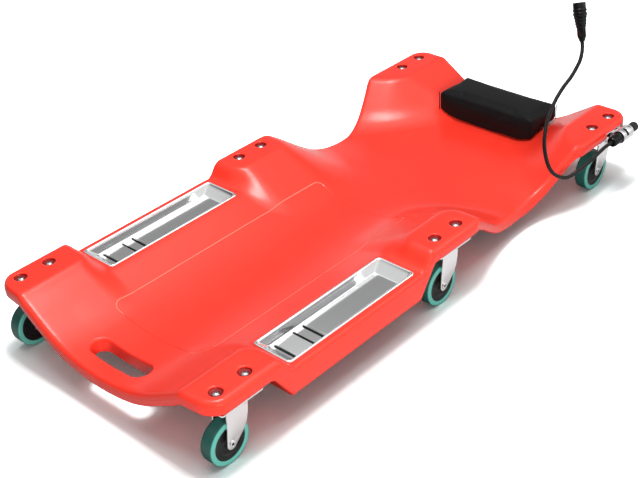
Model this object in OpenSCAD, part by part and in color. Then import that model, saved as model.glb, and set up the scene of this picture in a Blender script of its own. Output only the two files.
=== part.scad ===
// Floor creeper: a low padded-end board on six swivel casters, with two
// sunk steel tool trays, a headrest and a clip-on gooseneck lamp.
// Frame: +Z up, +Y towards the head end, +X towards the lamp side.
// The floor is z = 0 and the origin lies on it under the middle of the board.

/* [Board] */
// half width of the board across its raised pads
board_half = 233; // [200:1:260]
// distance from the origin to the foot edge
foot_end = 505.5; // [480:0.5:540]
// distance from the origin to the head edge
head_end = 507; // [480:0.5:540]
// height of the raised pads above the floor
pad_top = 119.5; // [110:0.5:130]
// height of the flat shoulders that carry the trays
shelf_top = 94; // [88:0.5:100]
// thickness of the hollow moulded board
board_thick = 23; // [18:0.5:28]
// radius of the four plan corners
corner_r = 30; // [16:1:40]
// depth of each arm cut-out at the waist
waist_in = 33.4; // [10:0.1:60]
// radius of the upper edge round the pads
edge_r = 9; // [3:0.5:11]
// height of the underside of the boxes below the trays
box_under = 46; // [40:1:60]

/* [Hand slot] */
// overall length of the hand slot at its wall
slot_len = 116; // [90:1:140]
// width of the hand slot at its wall
slot_wide = 33; // [28:0.5:44]
// distance of the slot's centre from the origin
slot_y = -458.6; // [-465:0.1:-440]
// how far the slot's rounded lip spreads at the surface
lip_wide = 3.6; // [1:0.1:6]

/* [Tool trays] */
// outside width of a tray's rolled rim
tray_wide = 71.3; // [50:0.1:75]
// outside length of a tray's rolled rim
tray_long = 268.6; // [200:0.1:275]
// depth of a tray's floor below the shelf
tray_deep = 14.5; // [8:0.5:18]
// distance of a tray's centre line from the middle
tray_x = 186.4; // [180:0.1:190]
// position of a tray's centre along the board
tray_y = -211.7; // [-215:0.1:-205]

/* [Casters] */
// diameter of a wheel over its tread
wheel_d = 70; // [60:1:75]
// width of a wheel
wheel_w = 22; // [16:1:23]
// distance from the swivel axis to the wheel axle
trail = 21; // [12:0.5:26]
// distance of the swivel axes from the middle
caster_x = 208.7; // [200:0.1:215]
// spacing of the two screws through each pad
screw_gap = 51.8; // [46:0.1:60]

/* [Headrest] */
// width of the headrest at its front
rest_wide = 205; // [160:1:220]
// length of the headrest from front to back
rest_long = 86.4; // [60:0.1:100]
// height of the top of the headrest above the floor
rest_top = 108.8; // [95:0.1:130]
// how far the headrest's sides draw in between its corners
rest_draw = 1.2; // [0:0.1:4]

/* [Lamp] */
// outside diameter of the clip's ring
clip_d = 23.6; // [22:0.1:27]
// diameter of the gooseneck
neck_d = 6.4; // [5:0.1:8]
// length of the lamp head with its strain relief
head_len = 62.8; // [60:0.1:80]

/* [Hidden] */
$fn = 64;
foot_y = -foot_end;
screw_d = 6;
hole_d = 6.4;
head_sink = 4;
slab_under = pad_top - board_thick;
plate_t = 2.5;
plate_under = slab_under - plate_t;
fork_gap = 12.2;
leg_t = 2.3;
crown_top = plate_under - 7.3;
axle_z = wheel_d / 2;
foot_row = -440.7;
mid_row = 10.9;
head_row = 448;
casters = [for (y = [foot_row, mid_row, head_row]) for (s = [-1, 1]) [s * caster_x, y]];
lamp_x = 248.7;
lamp_z = 102.4;
rest_y = 440.5;

// surface law of the board

function clamp(v) = max(0, min(1, v));
function smooth(v) = clamp(v) * clamp(v) * (3 - 2 * clamp(v));
function ease(v, e) = v < -e ? 0 : v < e ? (v + e) * (v + e) / (4 * e) : v;
function soft_max(a, b, k) = max(a, b) + pow(max(k - abs(a - b), 0), 2) / (4 * k);
function soft_min(a, b, k) = -soft_max(-a, -b, k);

// plan: half width along the board, and the bow of the foot edge
function waist(y) = y < 229 ? ease((y - 62) / 167, 0.06) : ease((355 - y) / 126, 0.06);
function half_at(y) = board_half - waist_in * sin(90 * clamp(waist(y)));
function bow(x, y) = 7 * pow(x / 175, 2) * (1 - smooth((y - foot_y) / 70));

// the dish between the pads: height of its middle, and how fast it rises sideways
function centre_z(y) = 56.4 + 6.3 * (1 - smooth((y + 130) / 360)) + 2.1 * smooth((-440 - y) / 70);
function dish(y) = 0.00144 * (1 - smooth((y - 20) / 140)) - 0.0002 * exp(-pow((y - 225) / 62, 2));
function dish_z(x, y) = soft_min(centre_z(y) + dish(y) * x * x, shelf_top, 5);

// fall from a pad's top outside its rounded rectangle, with its blend width
// e = distances past the inner, foot and head sides; s = their slopes; k = their blends
function pad_fall(e, s, k) =
  let (u = e[0] + corner_r * 0.8,
       v = max(e[1], e[2]) + corner_r * 0.8,
       i = e[1] > e[2] ? 1 : 2,
       pu = max(u, 0),
       pv = max(v, 0),
       w = pu + pv > 0 ? pu * pu / (pu * pu + pv * pv) : 1,
       d = (pu > 0 && pv > 0 ? norm([pu, pv]) : max(u, v)) - corner_r * 0.8)
  [(s[0] * w + s[i] * (1 - w)) * ease(d, 7 - 3 * w), k[0] * w + k[i] * (1 - w)];

function foot_pad(x, y) = pad_fall([171 - x, -999, y + 367], [0.68, 1, 1.6], [24, 8, 8]);
function mid_pad(x, y) = pad_fall([172 - x, -49 - y, y - 70], [0.57, 1.4, 0.76], [14, 9, 24]);
function cone(x, y) = (346.4 + (224.7 - x) * 0.584 - y) * 0.864;
function head_pad(x, y) = pad_fall([171 - x, cone(x, y), -999], [0.66, 0.88, 1], [26, 24, 8]);

function raise(z, f) = soft_max(z, pad_top - f[0], f[1]);
function top_z(x, y) =
  raise(raise(raise(dish_z(x, y), foot_pad(x, y)), mid_pad(x, y)), head_pad(x, y));

// underside: the slab, lowered to boxes below the trays
function box_gap(x, y) = max(150 - x, y + 78, -352 - y);
function under_z(x, y) =
  soft_min(top_z(x, y) - board_thick, box_under + 1.5 * max(box_gap(x, y), 0), 9);

// edge rounding from the distance to the outline
function upper_r(y) = edge_r - 4.5 * smooth((y + 372) / 20) * (1 - smooth((y + 80) / 24));
function lower_r(y) = 5 + 4 * smooth((y + 385) / 30) * (1 - smooth((y + 78) / 30));
function round_drop(d, r) = d >= r ? 0 : r - sqrt(max(r * r - (r - d) * (r - d), 0));

// rows across the board: place along it, and distance from the end they follow
foot_off = [0, 0.6, 2.2, 5, 9, 15, 24, 42];
head_off = [30, 22, 14, 9, 5, 2.2, 0.6, 0];
foot_rows = [-440, -402, -388, -376, -371, -367, -363, -358.5, -354, -350, -346.6, -338];
tray_rows = [-290, -211, -130, -88, -78, -70, -65, -60, -56, -52.5, -49, -45, -38];
mid_rows = [0, 40, 50, 58, 64, 70, 75, 82, 92, 104, 117, 131, 146, 162, 180, 200, 220];
head_rows = [240, 259, 276, 291, 304, 316, 326, 336, 345, 353, 361, 369, 378, 388, 405, 440];
rows = concat([for (o = foot_off) [foot_y + o, o]],
  [for (y = concat(foot_rows, tray_rows, mid_rows, head_rows)) [y, 99]],
  [for (o = head_off) [head_end - o, o]]);
half_cols = [0, 0.13, 0.2, 0.27, 0.36, 0.45, 0.53, 0.6, 0.66, 0.712, 0.755, 0.79, 0.87];
edge_offs = [9, 5, 2.2, 0.6, 0];

function cut_in(o) = o < corner_r ? corner_r - sqrt(pow(corner_r, 2) - pow(corner_r - o, 2)) : 0;
function row_xs(r) =
  let (e = half_at(r[0]) - cut_in(r[1]),
       h = concat([for (c = half_cols) c * (e - 9)], [for (o = edge_offs) e - o]),
       n = len(h) - 1)
  concat([for (i = [0 : n - 1]) -h[n - i]], h);
function rim_gap(x, r) =
  let (a = half_at(r[0]) - abs(x), b = r[1])
  a < corner_r && b < corner_r ? corner_r - norm([corner_r - a, corner_r - b]) : min(a, b);

top_pts = [for (r = rows) for (x = row_xs(r))
  let (y = r[0] + bow(x, r[0]))
  [x, y, top_z(abs(x), y) - round_drop(rim_gap(x, r), upper_r(y))]];
low_pts = [for (r = rows) for (x = row_xs(r))
  let (y = r[0] + bow(x, r[0]))
  [x, y, under_z(abs(x), y) + round_drop(rim_gap(x, r), lower_r(y))]];

// closed solid between two grids of nr rows and nc columns, its diagonals mirrored
module grid_solid(top, low, nr, nc) {
  n = nr * nc;
  upper = [for (i = [0 : nr - 2]) for (j = [0 : nc - 2])
    let (a = i * nc + j, b = a + nc)
    each (j < nc / 2 - 1 ? [[a, b + 1, a + 1], [a, b, b + 1]] : [[a, b, a + 1], [a + 1, b, b + 1]])];
  lower = [for (f = upper) [f[2] + n, f[1] + n, f[0] + n]];
  ring = concat([for (j = [0 : nc - 2]) j], [for (i = [0 : nr - 2]) i * nc + nc - 1],
    [for (j = [0 : nc - 2]) nr * nc - 1 - j], [for (i = [0 : nr - 2]) (nr - 1 - i) * nc]);
  m = len(ring);
  sides = [for (i = [0 : m - 1])
    let (a = ring[i], b = ring[(i + 1) % m])
    each [[a, b, b + n], [a, b + n, a + n]]];
  polyhedron(concat(top, low), concat(upper, lower, sides));
}

// closed solid through a list of equal loops, capped at both ends
module loop_solid(loops) {
  m = len(loops[0]);
  q = len(loops);
  sides = [for (j = [0 : q - 2]) for (i = [0 : m - 1])
    let (a = j * m + i, b = j * m + (i + 1) % m)
    each [[a, b, b + m], [a, b + m, a + m]]];
  polyhedron([for (l = loops) each l],
    concat([[for (i = [0 : m - 1]) m - 1 - i]], [[for (i = [0 : m - 1]) (q - 1) * m + i]], sides));
}

function round_loop(a, b, r, z, n = 5) = [for (c = [0 : 3]) for (i = [0 : n])
  let (t = 90 * c + 90 * i / n, sx = c == 0 || c == 3 ? 1 : -1, sy = c < 2 ? 1 : -1)
  [sx * (a - r) + r * cos(t), sy * (b - r) + r * sin(t), z]];

// hand slot: a long hole with slightly bowed sides, whose rounded lip follows the dish
function slot_loop(grow, rise, n = 10) = [for (c = [1, -1]) for (i = [0 : n + 5])
  let (t = 90 - 180 * min(i / n, 1),
       u = 1 - max(i - n, 0) / 3,
       x = c * (u * (slot_len - slot_wide) / 2 + (slot_wide / 2 + grow) * cos(t)),
       y = slot_y + c * ((slot_wide / 2 + grow) * sin(t) - 0.3 * (1 - u * u)))
  [x, y, rise < -9 ? 30 : rise > 9 ? 80 : top_z(abs(x), y) + rise]];

module hand_slot() {
  loop_solid([slot_loop(0, -10), slot_loop(0, -4), slot_loop(0.5, -2),
    slot_loop(lip_wide * 0.5, -0.7), slot_loop(lip_wide, 0.2), slot_loop(lip_wide + 0.6, 10)]);
}

// thin decorative line pressed round the middle of the board
function groove_at(t) =
  let (i = floor(t), f = t - i, u = 1 - 2 * f, a = 90 * f)
  i == 0 ? [96.5 - f, 425 * f - 378] :
  i == 1 ? [84.5 + 11 * cos(a), 47 + 11 * sin(a)] :
  i == 2 ? [84.5 * u, 58 - 10 * pow(1 - u * u, 1.4)] :
  i == 3 ? [-84.5 - 11 * sin(a), 47 + 11 * cos(a)] :
  i == 4 ? [f * -1 - 95.5, 47 - 425 * f] :
  i == 5 ? [-81.5 - 15 * cos(a), -378 - 15 * sin(a)] :
  i == 6 ? [-81.5 * u, -393 - (1 - u * u)] :
  [81.5 + 15 * sin(a), -378 - 15 * cos(a)];
groove_steps = [8, 4, 12, 4, 8, 4, 8, 4];

module groove() {
  mid = [for (i = [0 : 7]) for (k = [0 : groove_steps[i] - 1]) groove_at(i + k / groove_steps[i])];
  m = len(mid);
  across = [for (i = [0 : m - 1])
    let (d = mid[(i + 1) % m] - mid[(i + m - 1) % m])
    [-d[1], d[0]] / norm(d)];
  inn = [for (i = [0 : m - 1]) mid[i] + 0.9 * across[i]];
  out = [for (i = [0 : m - 1]) mid[i] - 0.9 * across[i]];
  pts = [for (c = [[inn, -1], [out, -1], [out, 2], [inn, 2]]) for (p = c[0])
    [p[0], p[1], top_z(abs(p[0]), p[1]) + c[1]]];
  polyhedron(pts, [for (q = [0 : 3]) for (i = [0 : m - 1])
    let (a = q * m + i, b = q * m + (i + 1) % m, c = ((q + 1) % 4) * m)
    each [[a, c + i, c + (i + 1) % m], [a, c + (i + 1) % m, b]]]);
}

module tray_pocket(sx) {
  w = tray_wide - 5.6;
  l = tray_long - 5.6;
  translate([sx * tray_x, tray_y, shelf_top - tray_deep - 2.4]) {
    translate([-w / 2 + 6, -l / 2, 0]) cube([w - 12, l, 40]);
    translate([-w / 2, -l / 2 + 6, 0]) cube([w, l - 12, 40]);
    for (i = [-1, 1]) for (j = [-1, 1])
      translate([i * (w / 2 - 6), j * (l / 2 - 6), 0]) cylinder(r = 6, h = 40);
  }
}

module deck() {
  color([0.9, 0.13, 0.08]) difference() {
    grid_solid(top_pts, low_pts, len(rows), len(row_xs(rows[20])));
    hand_slot();
    tray_pocket(-1);
    tray_pocket(1);
    for (c = casters) for (s = [-0.5, 0.5]) translate([c[0], c[1] + s * screw_gap, 0]) {
      translate([0, 0, pad_top - head_sink]) cylinder(d = 20, h = 20);
      translate([0, 0, slab_under - 5]) cylinder(d = hole_d, h = 40);
    }
    for (s = [-1, 1]) translate([s * 40, rest_y - 0.5, 20]) cylinder(d = 5.4, h = 60);
    translate([lamp_x - 18, 461.5, lamp_z + 1.6])
      rotate([0, 90, 0]) cylinder(d = 3.4, h = 10, center = true);
    groove();
  }
}

// pressed sheet tray with a rolled rim, cross beads and two raised floor panels
module tray(sx) {
  a = tray_wide / 2;
  b = tray_long / 2;
  f = -tray_deep;
  color([0.82, 0.83, 0.85]) translate([sx * tray_x, tray_y, shelf_top]) union() {
    loop_solid([
      round_loop(a - 9.6, b - 22, 3.4, f),
      round_loop(a - 8.2, b - 20, 4, f + 0.5),
      round_loop(a - 4.4, b - 4.6, 4.6, 0.2),
      round_loop(a - 3.2, b - 3.4, 5, 1.5),
      round_loop(a - 1.4, b - 1.4, 6, 1.9),
      round_loop(a, b, 6.8, 1.1),
      round_loop(a, b, 6.8, 0.06),
      round_loop(a - 3, b - 3.1, 5.4, 0.06),
      round_loop(a - 3.5, b - 4.3, 5, -0.9),
      round_loop(a - 7.2, b - 18.9, 4.6, f - 0.3),
      round_loop(a - 8.6, b - 21.2, 3.8, f - 1)]);
    translate([-22, -105.1, f - 0.5]) cube([44, 33.6, 1.1]);
    translate([-22, -44.4, f - 0.5]) cube([44, 157, 1.1]);
    for (y = [-109.7, -68.3, -48.3]) translate([0, y, f - 0.4])
      rotate([0, 90, 0]) cylinder(r = 1.7, h = 45, center = true, $fn = 24);
  }
}

// headrest: a stuffed block with a low crown and drawn-in sides, whose
// underside rests on the flat middle of the dish and clears its rising flanks
rest_u = [0, 0.012, 0.035, 0.075, 0.13, 0.22, 0.34, 0.39, 0.5];
rest_v = [0, 0.02, 0.06, 0.13, 0.25, 0.4];
rest_us = concat(rest_u, [for (i = [1 : 8]) 1 - rest_u[8 - i]]);
rest_vs = concat(rest_v, [for (i = [0 : 5]) 1 - rest_v[5 - i]]);
function bulge(s, t) = pow(sin(180 * s), 0.6) * pow(sin(180 * t), 0.6);
function rest_pt(s, t, up) =
  let (u = 2 * s - 1,
       v = 2 * t - 1,
       hx = rest_wide / 2 - 0.8 * (v + 1) - rest_draw * (1 - v * v),
       hy = rest_long / 2 - rest_draw * (1 - u * u),
       x = u * hx,
       y = rest_y + v * hy,
       dx = hx - abs(x),
       dy = hy - abs(y - rest_y),
       d = dx < 4.5 && dy < 4.5 ? 4.5 - norm([4.5 - dx, 4.5 - dy]) : min(dx, dy),
       low = top_z(abs(x), y) + 0.9 * smooth((abs(x) - 24) / 10))
  up ? [x, y, rest_top + 2 * bulge(s, t) - round_drop(max(d, 0), 4)] :
       [x, y, low + round_drop(max(d, 0), 3)];

module headrest_cushion() {
  top = [for (t = rest_vs) for (s = rest_us) rest_pt(s, t, true)];
  low = [for (t = rest_vs) for (s = rest_us) rest_pt(s, t, false)];
  color([0.06, 0.06, 0.065]) difference() {
    grid_solid(top, low, len(rest_vs), len(rest_us));
    translate([-60, rest_y - 27, 40]) cube([120, 54, 27.1]);
  }
}

module headrest_board() {
  color([0.55, 0.4, 0.25]) difference() {
    translate([-58, rest_y - 26, 59.3]) cube([116, 52, 7.8]);
    for (s = [-1, 1]) translate([s * 40, rest_y - 0.5, 50]) cylinder(d = 3.9, h = 14);
  }
}

module headrest_screws() {
  color([0.75, 0.76, 0.78]) for (s = [-1, 1]) translate([s * 40, rest_y - 0.5, 0]) {
    translate([0, 0, 31.2]) cylinder(d = 11, h = 2.2);
    translate([0, 0, 33.4]) cylinder(d = 3.8, h = 29.4);
  }
}

// fixings through the pads
module pad_screws() {
  head_z = pad_top - head_sink;
  tip_z = plate_under - 6.5;
  color([0.8, 0.81, 0.83])
    for (c = casters) for (s = [-0.5, 0.5]) translate([c[0], c[1] + s * screw_gap, 0]) {
      translate([0, 0, tip_z]) cylinder(d = screw_d, h = head_z - tip_z);
      difference() {
        intersection() {
          translate([0, 0, head_z]) cylinder(d = 10.5, h = 3);
          translate([0, 0, head_z - 5.2]) sphere(r = 7.6);
        }
        translate([0, 0, head_z + 1.1]) cylinder(d = 4.6, h = 5, $fn = 6);
      }
    }
}

module pad_nuts() {
  color([0.75, 0.76, 0.78])
    for (c = casters) for (s = [-0.5, 0.5]) translate([c[0], c[1] + s * screw_gap, plate_under - 5])
      difference() {
        cylinder(d = 11.5, h = 5, $fn = 6);
        translate([0, 0, -1]) cylinder(d = screw_d + 0.04, h = 7);
      }
}

// caster top plate with the upper ball race and the king rivet
module plate(i) {
  c = casters[i];
  color([0.8, 0.81, 0.83]) translate([c[0], c[1], 0]) union() {
    difference() {
      union() {
        translate([-18, -38, plate_under]) cube([36, 76, plate_t]);
        translate([-22, -34, plate_under]) cube([44, 68, plate_t]);
        for (a = [-1, 1]) for (b = [-1, 1])
          translate([a * 18, b * 34, plate_under]) cylinder(r = 4, h = plate_t);
      }
      for (s = [-0.5, 0.5])
        translate([0, s * screw_gap, plate_under - 1]) cylinder(d = hole_d, h = plate_t + 2);
    }
    translate([0, 0, plate_under]) rotate_extrude()
      polygon([[0, 0.1], [18.5, 0.1], [19.3, -1.2], [19.3, -5.2],
        [17.6, -5.2], [17.2, -2.4], [4, -2.4], [0, -2.4]]);
    translate([0, 0, crown_top - 4.6]) cylinder(r = 4, h = plate_under - crown_top + 3);
    translate([0, 0, crown_top - 6.3]) rotate_extrude()
      polygon([[0, 0], [6.4, 0.2], [7.4, 1.2], [7.4, 2.6], [0, 2.6]]);
  }
}

// pressed swivel fork: crown with the lower race, and two tapering legs
module leg(x0) {
  top = crown_top - axle_z;
  translate([x0, 0, axle_z]) rotate([90, 0, 90]) difference() {
    union() {
      linear_extrude(height = leg_t)
        polygon([[-24, top], [-trail - 8.5, 1], [-trail - 7.4, -4], [-trail + 6.6, -5.4],
          [3.5, 13], [9, 24], [12, 38], [13, top]]);
      translate([-trail, 0, 0]) cylinder(r = 8.5, h = leg_t);
    }
    translate([-trail, 0, -1]) cylinder(r = 3.02, h = leg_t + 2);
  }
}

module fork(i) {
  c = casters[i];
  wide = 2 * (fork_gap + leg_t);
  color([0.86, 0.87, 0.89]) translate([c[0], c[1], 0]) union() {
    leg(fork_gap);
    leg(-fork_gap - leg_t);
    difference() {
      union() {
        translate([-wide / 2, -24, crown_top - leg_t]) cube([wide, 37, leg_t]);
        translate([0, 0, crown_top - leg_t]) cylinder(r = 17, h = leg_t);
        translate([0, 0, crown_top]) rotate_extrude()
          polygon([[4.06, -0.2], [17, -0.2], [16.6, 1.5], [15, 3.2], [12, 4.3], [4.06, 4.3]]);
      }
      translate([0, 0, crown_top - 10]) cylinder(r = 4.06, h = 30);
      translate([0, 0, crown_top - 10]) cylinder(r = 7.7, h = 8.6);
    }
  }
}

module axle(i) {
  c = casters[i];
  side = fork_gap + leg_t;
  color([0.7, 0.71, 0.73]) translate([c[0], c[1] - trail, axle_z]) rotate([0, 90, 0]) difference() {
    union() {
      cylinder(r = 3, h = 2 * side + 1, center = true);
      for (s = [-1, 1]) scale([1, 1, s]) translate([0, 0, side]) rotate_extrude()
        polygon([[0, 0], [5, 0], [4.6, 0.9], [3.6, 1.4], [0, 1.4]]);
    }
    for (s = [-1, 1]) scale([1, 1, s]) translate([0, 0, fork_gap]) cylinder(r = 2, h = 6);
  }
}

// wheel centre with a dished web on both sides
module hub(i) {
  c = casters[i];
  hw = wheel_w / 2;
  rim = wheel_d / 2 - 8;
  half = [[3.06, hw + 0.7], [6.5, hw + 0.7], [7.5, hw - 1.5], [9.5, hw - 4.2],
    [20, hw - 4.8], [22, hw - 1.8], [rim, hw - 1]];
  color([0.07, 0.07, 0.075]) translate([c[0], c[1] - trail, axle_z]) rotate([0, 90, 0])
    rotate_extrude() polygon(concat([for (p = half) [p[0], -p[1]]], [for (k = [6 : -1 : 0]) half[k]]));
}

module tyre(i) {
  c = casters[i];
  hw = wheel_w / 2;
  rim = wheel_d / 2 - 8;
  r = wheel_d / 2;
  half = [[rim, hw - 0.6], [rim + 0.6, hw], [r - 2.4, hw], [r - 0.8, hw - 0.8], [r, hw - 2.6]];
  color([0.2, 0.42, 0.38]) translate([c[0], c[1] - trail, axle_z]) rotate([0, 90, 0])
    rotate_extrude($fn = 96)
      polygon(concat([for (p = half) [p[0], -p[1]]], [for (k = [4 : -1 : 0]) half[k]]));
}

// lamp: clip, barrel, flexible neck and head
module lamp_clip() {
  color([0.83, 0.84, 0.86]) difference() {
    union() {
      translate([lamp_x, 443.3, lamp_z]) rotate([-90, 0, 0]) cylinder(d = clip_d, h = 31);
      translate([board_half + 0.02, 427, lamp_z - 8]) cube([2.6, 47.3, 16]);
      translate([board_half + 0.02, 447, lamp_z - 4]) cube([7, 26, 8]);
    }
    translate([lamp_x, 440, lamp_z]) rotate([-90, 0, 0]) cylinder(d = clip_d - 2.4, h = 36);
    translate([lamp_x, 453, lamp_z]) rotate([0, 32, 0]) translate([-5.5, 0, 6]) cube([14, 5.6, 8]);
    translate([lamp_x - 4, 461.5, lamp_z + 1.6]) rotate([0, -90, 0]) cylinder(d = 3.42, h = 14);
    translate([lamp_x - 13.6, 461.5, lamp_z + 1.6]) rotate([0, 90, 0]) cylinder(d = 6.6, h = 6);
  }
}

module clip_screw() {
  color([0.7, 0.71, 0.73]) translate([lamp_x - 13.7, 461.5, lamp_z + 1.6]) rotate([0, 90, 0]) {
    translate([0, 0, -5.8]) cylinder(d = 3.36, h = 6);
    translate([0, 0, 0.1]) cylinder(d = 6.4, h = 1);
  }
}

module lamp_barrel() {
  color([0.05, 0.05, 0.055]) translate([lamp_x, 437, lamp_z]) rotate([-90, 0, 0]) difference() {
    union() {
      cylinder(r = 9.2, h = 40);
      translate([0, 0, 5.7]) cylinder(r = clip_d / 2 - 1.21, h = 32.6);
      translate([0, 0, 39.9]) cylinder(r = 8.6, h = 3.7);
    }
    translate([0, 0, 4]) cylinder(r = 7.5, h = 37);
    translate([0, 0, 40.5]) cylinder(r = 5.06, h = 9);
  }
}

module lamp_collar() {
  color([0.045, 0.045, 0.05]) translate([lamp_x, 437, lamp_z]) rotate([90, 0, 0]) difference() {
    union() {
      cylinder(r = 8.7, h = 15.4);
      for (z = [0.4, 3.6, 6.8, 10]) translate([0, 0, z]) cylinder(r = 9.4, h = 2.2);
      translate([0, 0, 15.2]) cylinder(r1 = 8.2, r2 = 7.2, h = 1.6);
    }
    for (a = [0 : 5]) rotate([0, 0, 60 * a])
      translate([5.4, 0, 13.6]) cylinder(r = 0.9, h = 6, $fn = 24);
    translate([0, 0, 11.8]) cylinder(r = neck_d / 2 + 0.02, h = 8);
  }
}

module lamp_battery() {
  color([0.75, 0.62, 0.2]) translate([lamp_x, 441.5, lamp_z]) rotate([-90, 0, 0]) {
    cylinder(r = 7.2, h = 32.2);
    translate([0, 0, 32.1]) cylinder(r = 2.7, h = 1.4);
  }
}

module tail_button() {
  color([0.03, 0.03, 0.033]) translate([lamp_x, 482.3, lamp_z]) rotate([-90, 0, 0]) {
    translate([0, 0, -2.6]) cylinder(r = 5, h = 4);
    difference() {
      cylinder(r = 8.5, h = 14);
      for (a = [0 : 11]) rotate([0, 0, 30 * a])
        translate([8.9, 0, 2]) cylinder(r = 0.9, h = 14, $fn = 24);
    }
  }
}

// route of the flexible neck: straight out of the collar, low along the board,
// up in one bend, across and up into the head
neck_route = [[248.7, 425.2, 102.4], [248.7, 419, 102.4], [248.8, 411, 102.7], [249, 398, 102.7],
  [249.4, 380, 101], [249.6, 355, 97.4], [249, 322, 95], [248, 297, 94.6],
  [246.8, 279, 98.6], [244.6, 253, 116], [242.4, 238, 136], [239.4, 230, 162],
  [236.2, 230.4, 184], [232.2, 240.5, 207], [229.2, 255.5, 224], [226.4, 274, 236.8],
  [223.2, 298, 246.4], [220.6, 325, 254.3], [219.3, 342.9, 264.5], [218.2, 353.7, 273.4],
  [215.8, 361.4, 285.7], [212.5, 365.4, 297.1]];
head_top = [192.5, 381.6, 354.3];

function unit(v) = v / norm(v);
function spline(p, i, t) =
  let (n = len(p) - 1, a = p[max(i - 1, 0)], b = p[i], c = p[min(i + 1, n)], d = p[min(i + 2, n)])
  0.5 * (2 * b + (c - a) * t + (2 * a - 5 * b + 4 * c - d) * t * t
    + (3 * b - a - 3 * c + d) * t * t * t);
neck_last = len(neck_route) - 1;
neck_end = neck_route[neck_last];
neck_line = concat([for (i = [0 : neck_last - 1]) for (t = [0, 0.5]) spline(neck_route, i, t)],
  [neck_end]);

module gooseneck() {
  m = len(neck_line);
  k = 12;
  rings = [for (i = [0 : m - 1])
    let (d = i == 0 ? [0, -1, 0] : i == m - 1 ? head_top - neck_end : neck_line[i + 1] - neck_line[i - 1],
         t = unit(d),
         a = unit(cross(t, [1, 0, 0])),
         b = cross(t, a))
    [for (j = [0 : k - 1]) neck_line[i] + neck_d / 2 * (cos(360 * j / k) * a - sin(360 * j / k) * b)]];
  color([0.09, 0.09, 0.095]) loop_solid(rings);
}

module at_head() {
  d = unit(head_top - neck_end);
  translate(neck_end) rotate([0, acos(d[2]), atan2(d[1], d[0])]) children();
}

module lamp_head() {
  relief = [[0, 0], [3.9, 0], [4.1, 2], [4.9, 2.4], [5, 4.4], [5.8, 4.8], [6, 6.8], [6.7, 7.2],
    [6.9, 9.2], [7.2, 9.8], [7.2, 22.7], [8.1, 24.2]];
  ribs = [for (k = [0 : 2]) each [[8.1 + 0.6 * k, 26 + 5 * k], [8.1 + 0.6 * k, 27 + 5 * k],
    [8.8 + 0.6 * k, 27.5 + 5 * k], [9.1 + 0.6 * k, 30 + 5 * k]]];
  color([0.05, 0.05, 0.055]) at_head() difference() {
    rotate_extrude() polygon(concat(relief, ribs, [[10.2, 41.2], [0, 41.2]]));
    translate([0, 0, 36.7]) cylinder(r = 8.2, h = 6);
  }
}

module lamp_bezel() {
  h = head_len;
  color([0.04, 0.04, 0.045]) at_head() rotate_extrude()
    polygon([[8.25, 41.2], [10, 41.2], [11.2, 42.4], [11.2, 46], [10.2, 46.9], [10.2, 48.2],
      [11.2, 49], [11.2, 51.6], [10.3, 52.6], [10.3, h - 1], [9.8, h], [9, h],
      [9, h - 4.9], [8.25, h - 4.9]]);
}

module lamp_reflector() {
  h = head_len - 4.8;
  color([0.9, 0.9, 0.92]) at_head() rotate_extrude()
    polygon([[1.9, 38.7], [3, 38.7], [5.6, 44.5], [7.3, 51], [8.2, 57], [8.2, h],
      [7.6, h], [6.6, 51.4], [4.8, 45.1], [1.9, 39.7]]);
}

module lamp_led() {
  color([0.95, 0.9, 0.5]) at_head() {
    translate([0, 0, 36.7]) cylinder(r = 7.9, h = 1.6);
    translate([0, 0, 38.2]) cylinder(r = 1.7, h = 2.4);
  }
}

module lamp_lens() {
  color([0.8, 0.88, 0.92, 0.5]) at_head()
    translate([0, 0, head_len - 4.7]) cylinder(r = 8.95, h = 2.6);
}

deck();
tray(-1);  // tray_left
tray(1);  // tray_right
headrest_cushion();
headrest_board();
headrest_screws();
pad_screws();
pad_nuts();
plate(0);  // plate_foot_left
plate(1);  // plate_foot_right
plate(2);  // plate_mid_left
plate(3);  // plate_mid_right
plate(4);  // plate_head_left
plate(5);  // plate_head_right
fork(0);  // fork_foot_left
fork(1);  // fork_foot_right
fork(2);  // fork_mid_left
fork(3);  // fork_mid_right
fork(4);  // fork_head_left
fork(5);  // fork_head_right
axle(0);  // axle_foot_left
axle(1);  // axle_foot_right
axle(2);  // axle_mid_left
axle(3);  // axle_mid_right
axle(4);  // axle_head_left
axle(5);  // axle_head_right
hub(0);  // hub_foot_left
hub(1);  // hub_foot_right
hub(2);  // hub_mid_left
hub(3);  // hub_mid_right
hub(4);  // hub_head_left
hub(5);  // hub_head_right
tyre(0);  // tyre_foot_left
tyre(1);  // tyre_foot_right
tyre(2);  // tyre_mid_left
tyre(3);  // tyre_mid_right
tyre(4);  // tyre_head_left
tyre(5);  // tyre_head_right
lamp_clip();
clip_screw();
lamp_barrel();
lamp_collar();
lamp_battery();
tail_button();
gooseneck();
lamp_head();
lamp_bezel();
lamp_reflector();
lamp_led();
lamp_lens();
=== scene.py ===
"""Floor creeper: a moulded board on six swivel casters, with two steel tool trays,
a stuffed headrest and a clip-on gooseneck lamp."""
import math

import bpy
import numpy as np
from mathutils import Matrix, Vector


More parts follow.
